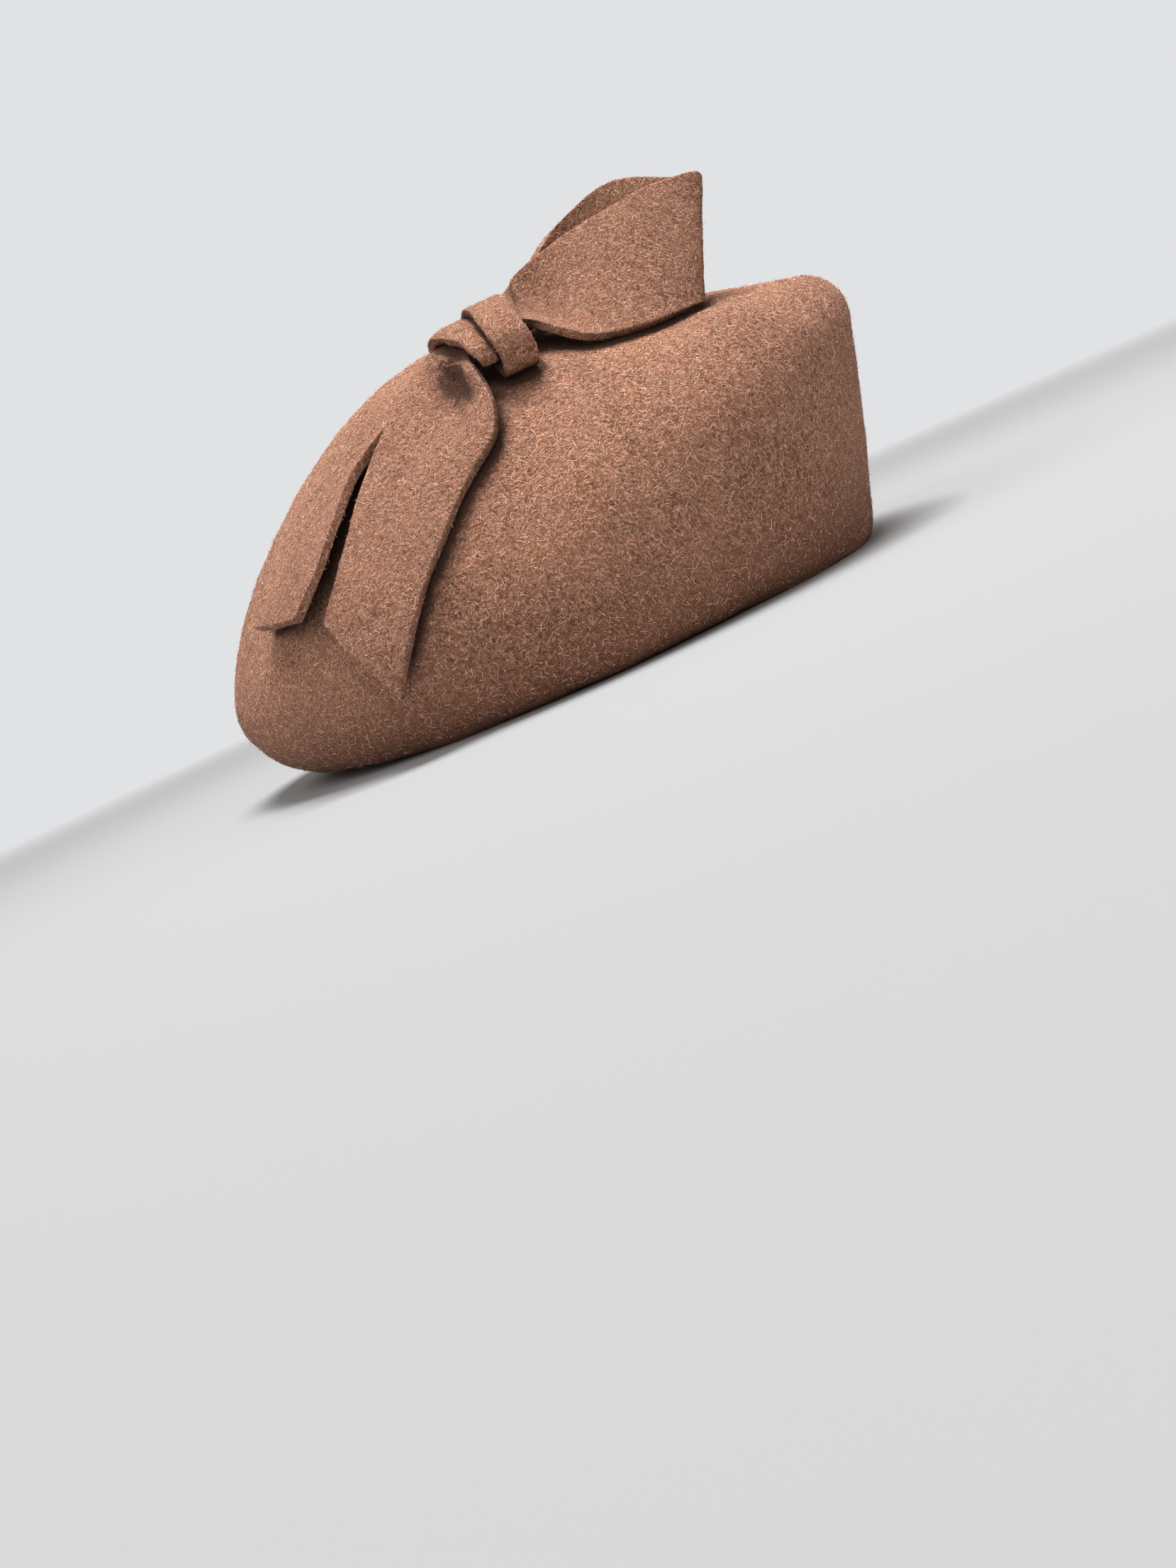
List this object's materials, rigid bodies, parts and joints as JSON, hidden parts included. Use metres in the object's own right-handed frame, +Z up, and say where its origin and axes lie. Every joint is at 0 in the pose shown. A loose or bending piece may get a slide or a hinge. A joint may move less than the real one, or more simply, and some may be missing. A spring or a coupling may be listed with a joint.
{
  "type": "pillbox hat",
  "caption": "Soft blocked pillbox hat of one thick felt, high over the front and sloping to a low back, with a half bow of felt strip knotted on one side of the crown.",
  "frame": {"origin": "centre of the head opening, in the plane of the flat ring the hat rests on", "axes": "+Z up out of the crown's top, -Y the way the wearer faces, -X the wearer's right, where the bow is"},
  "size_m": [0.231, 0.2411, 0.1277],
  "materials": {
    "crown_felt": "matte marled wool felt with a short fuzzy nap",
    "bow_felt": "matte wool felt strip with cut edges"
  },
  "bodies": {
    "root": {"crown": "crown_felt", "bow_loop": "bow_felt", "knot_wrap": "bow_felt", "tail_front": "bow_felt", "tail_back": "bow_felt"}
  },
  "joints": []
}
